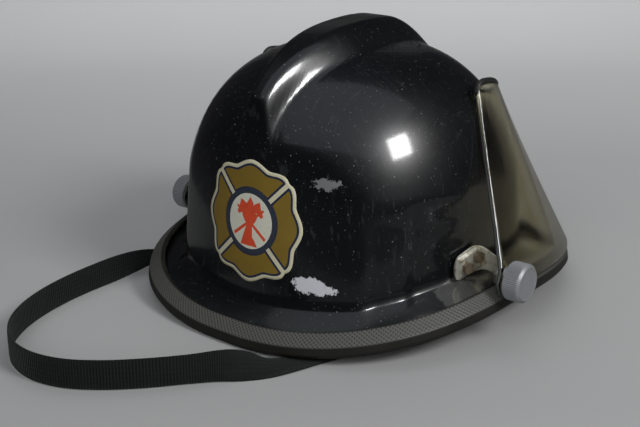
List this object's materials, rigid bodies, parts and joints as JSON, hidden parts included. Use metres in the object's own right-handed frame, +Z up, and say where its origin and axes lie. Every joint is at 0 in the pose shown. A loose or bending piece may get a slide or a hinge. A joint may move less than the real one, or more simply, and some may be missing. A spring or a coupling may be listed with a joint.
{
  "type": "firefighter helmet",
  "caption": "Crested hard-shell firefighter helmet with knurled-edge trim, rear badge, flip-up smoke faceshield on side thumb knobs, ratchet headband and chin strap.",
  "frame": {"origin": "centre of the brim on the table, at the lowest point of the edge trim", "axes": "+Z up, front of the helmet towards -Y, the wearer's right towards -X"},
  "size_m": [0.3038, 0.4156, 0.1896],
  "materials": {
    "shell": "gloss black moulded plastic, worn",
    "trim": "dark rubber with a diamond knurl",
    "badge": "printed vinyl, gold lobes with a cream border",
    "liner": "dark foam",
    "headband": "black flexible plastic",
    "sweatband": "brown leather over foam",
    "crown_webbing": "woven webbing",
    "pad": "padded dark cloth",
    "clips": "natural nylon",
    "ratchet": "black plastic",
    "ratchet_knob": "ribbed black knob",
    "plated_steel": "zinc plated steel",
    "webbing": "dark green-black grosgrain webbing",
    "bracket": "dull bent aluminium plate",
    "bolts": "dull brown oxidised bolts",
    "washers": "polished washer",
    "visor": "smoke olive clear sheet, stained and scratched",
    "edging": "dark edging bead",
    "knob": "knurled turned aluminium"
  },
  "bodies": {
    "root": {"shell": "shell", "edge_trim": "trim", "badge": "badge", "impact_liner": "liner", "headband": "headband", "sweatband": "sweatband", "crown_strap_long": "crown_webbing", "crown_strap_cross": "crown_webbing", "crown_pad": "pad", "suspension_clips": "clips", "ratchet_housing": "ratchet", "nape_pad": "pad", "strap_anchor_right": "plated_steel", "strap_anchor_left": "plated_steel", "chin_strap": "webbing", "strap_slider": "plated_steel", "bracket_right": "bracket", "bracket_left": "bracket", "bracket_bolts_right": "bolts", "bracket_bolts_left": "bolts", "bracket_nuts_right": "plated_steel", "bracket_nuts_left": "plated_steel", "pivot_stud_right": "plated_steel", "pivot_stud_left": "plated_steel", "inner_washer_right": "washers", "inner_washer_left": "washers", "outer_washer_right": "washers", "outer_washer_left": "washers"},
    "faceshield": {"visor": "visor", "visor_edging": "edging"},
    "right_knob": {"thumb_knob_right": "knob"},
    "left_knob": {"thumb_knob_left": "knob"},
    "size_knob": {"ratchet_knob": "ratchet_knob"}
  },
  "joints": [
    {"name": "faceshield_lift", "type": "hinge", "parent": "root", "child": "faceshield", "pos_m": [0, 0.037, 0.042], "axis": [-1, 0, 0], "range_deg": [0, 50]},
    {"name": "right_knob_turn", "type": "hinge", "parent": "root", "child": "right_knob", "pos_m": [-0.146, 0.037, 0.042], "axis": [-1, 0, 0], "continuous": true},
    {"name": "left_knob_turn", "type": "hinge", "parent": "root", "child": "left_knob", "pos_m": [0.146, 0.037, 0.042], "axis": [1, 0, 0], "continuous": true},
    {"name": "size_knob_turn", "type": "hinge", "parent": "root", "child": "size_knob", "pos_m": [0, 0.1075, 0.0465], "axis": [0, 1, 0], "range_deg": [-180, 180]}
  ]
}
